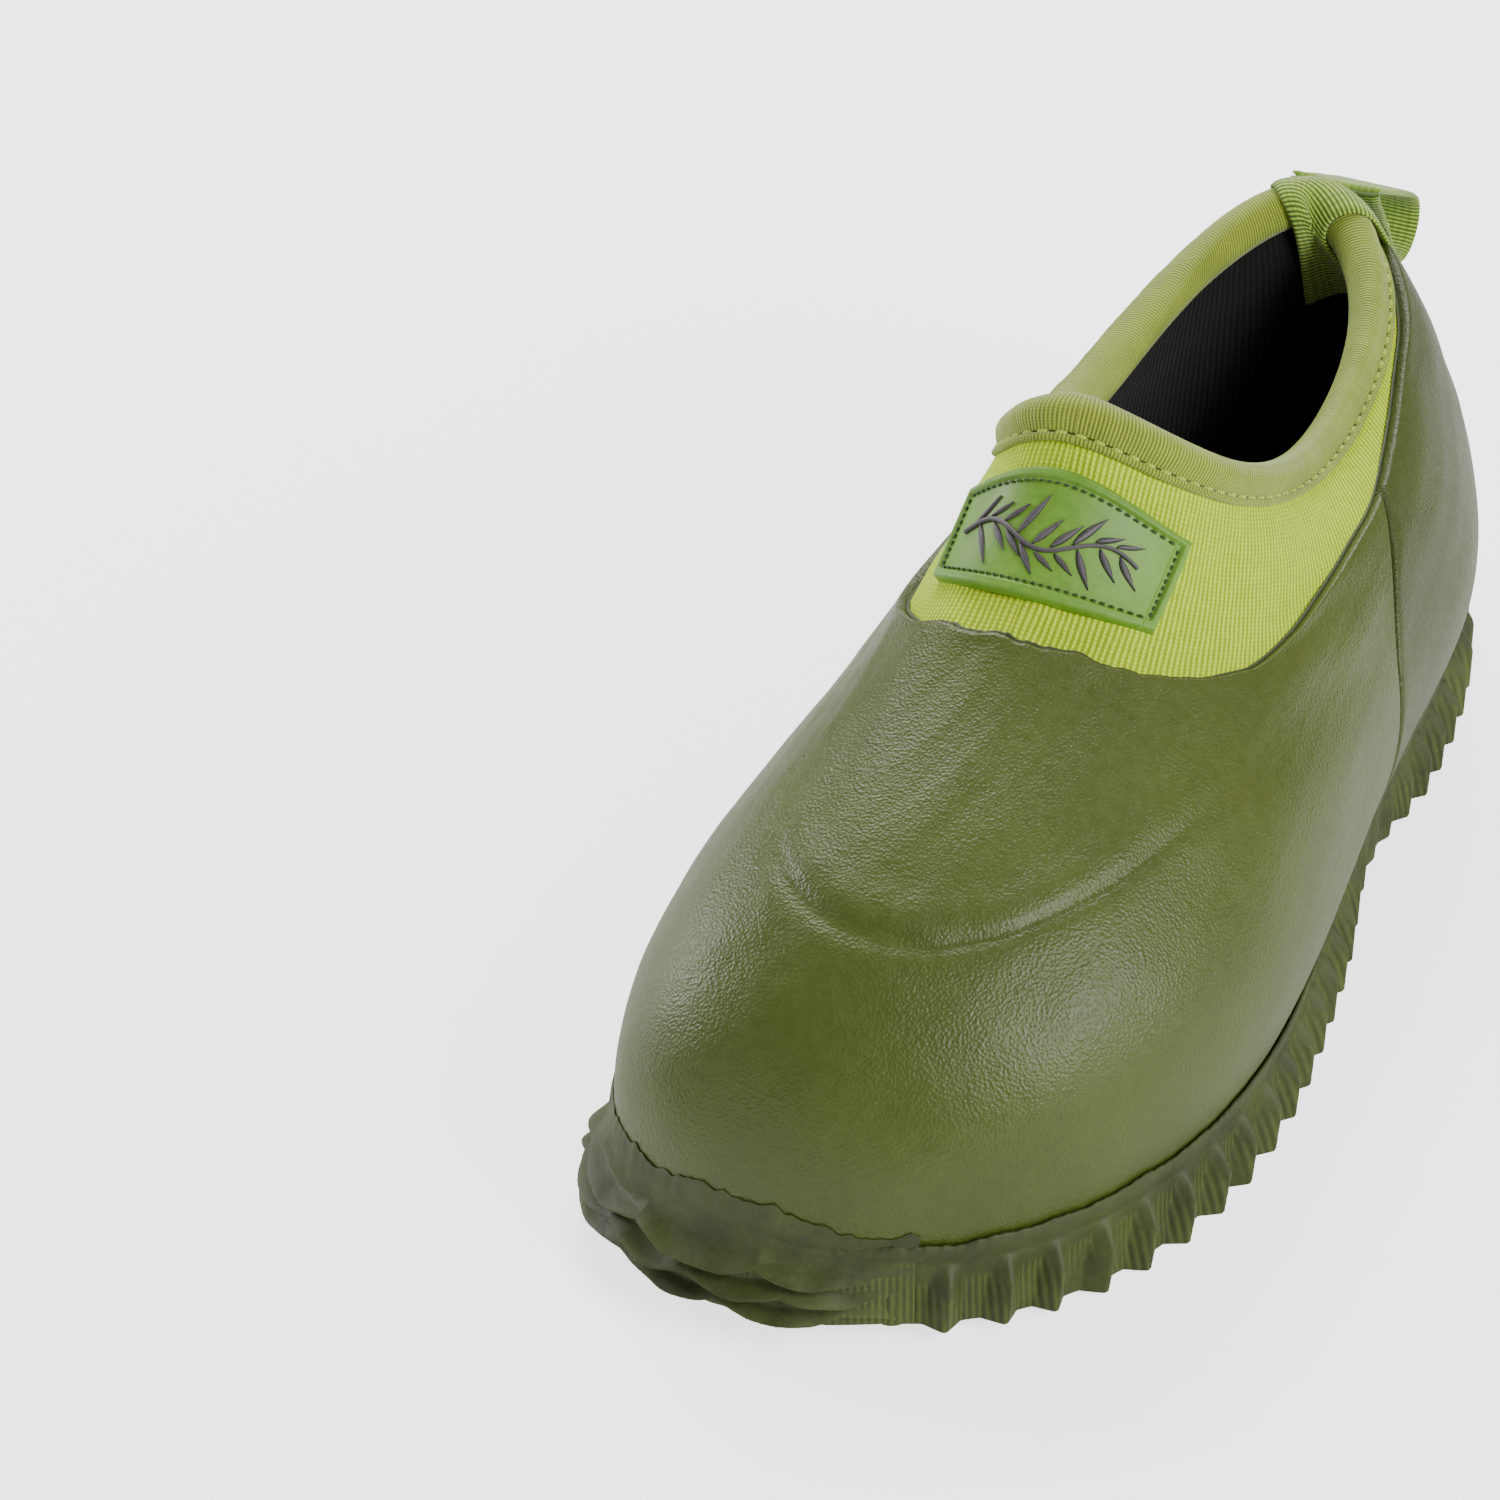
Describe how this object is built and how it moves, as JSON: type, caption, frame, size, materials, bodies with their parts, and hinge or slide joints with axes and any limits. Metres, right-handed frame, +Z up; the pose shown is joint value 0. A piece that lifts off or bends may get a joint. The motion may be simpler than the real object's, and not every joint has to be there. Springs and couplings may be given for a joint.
{
  "type": "garden clog",
  "caption": "Slip-on garden clog: lugged outsole, rubber vamp and heel shells over a knit neoprene sock, bound collar and a webbing pull loop.",
  "frame": {"origin": "centre of the bounding box in plan, on the ground under the tread", "axes": "+Y towards the heel along the shoe's length, +X towards the outer side of the foot, +Z up"},
  "size_m": [0.111, 0.29, 0.1182],
  "materials": {
    "sole_rubber": "matte, finely serrated",
    "shell_rubber": "semi-gloss pebble grain",
    "heel_rubber": "semi-gloss pebble grain",
    "eva": "foamed, matte",
    "board": "fibre board",
    "foam": "soft foam",
    "lining_cloth": "knit lining",
    "neoprene": "ribbed knit over neoprene",
    "binding_cloth": "stretch binding",
    "thread": "sewing thread",
    "badge_rubber": "moulded, satin",
    "motif_rubber": "moulded, satin",
    "webbing": "ribbed webbing"
  },
  "bodies": {
    "clog": {"outsole": "sole_rubber", "midsole": "eva", "lasting_board": "board", "footbed": "foam", "footbed_cover": "lining_cloth", "vamp_shell": "shell_rubber", "heel_shell": "heel_rubber", "toe_bumper": "sole_rubber", "neoprene_upper": "neoprene", "lining": "lining_cloth", "collar_binding": "binding_cloth", "binding_stitching": "thread", "badge": "badge_rubber", "badge_motif": "motif_rubber", "badge_stitching": "thread", "collar_tape": "webbing", "loop_stitching": "thread"},
    "loop": {"pull_loop": "webbing"}
  },
  "joints": [
    {"name": "pull_loop_hinge", "type": "hinge", "parent": "clog", "child": "loop", "pos_m": [-0.00628, 0.12062, 0.09838], "axis": [1, 0, 0], "range_deg": [-10, 80], "stiffness_Nm_per_rad": 0.002}
  ]
}
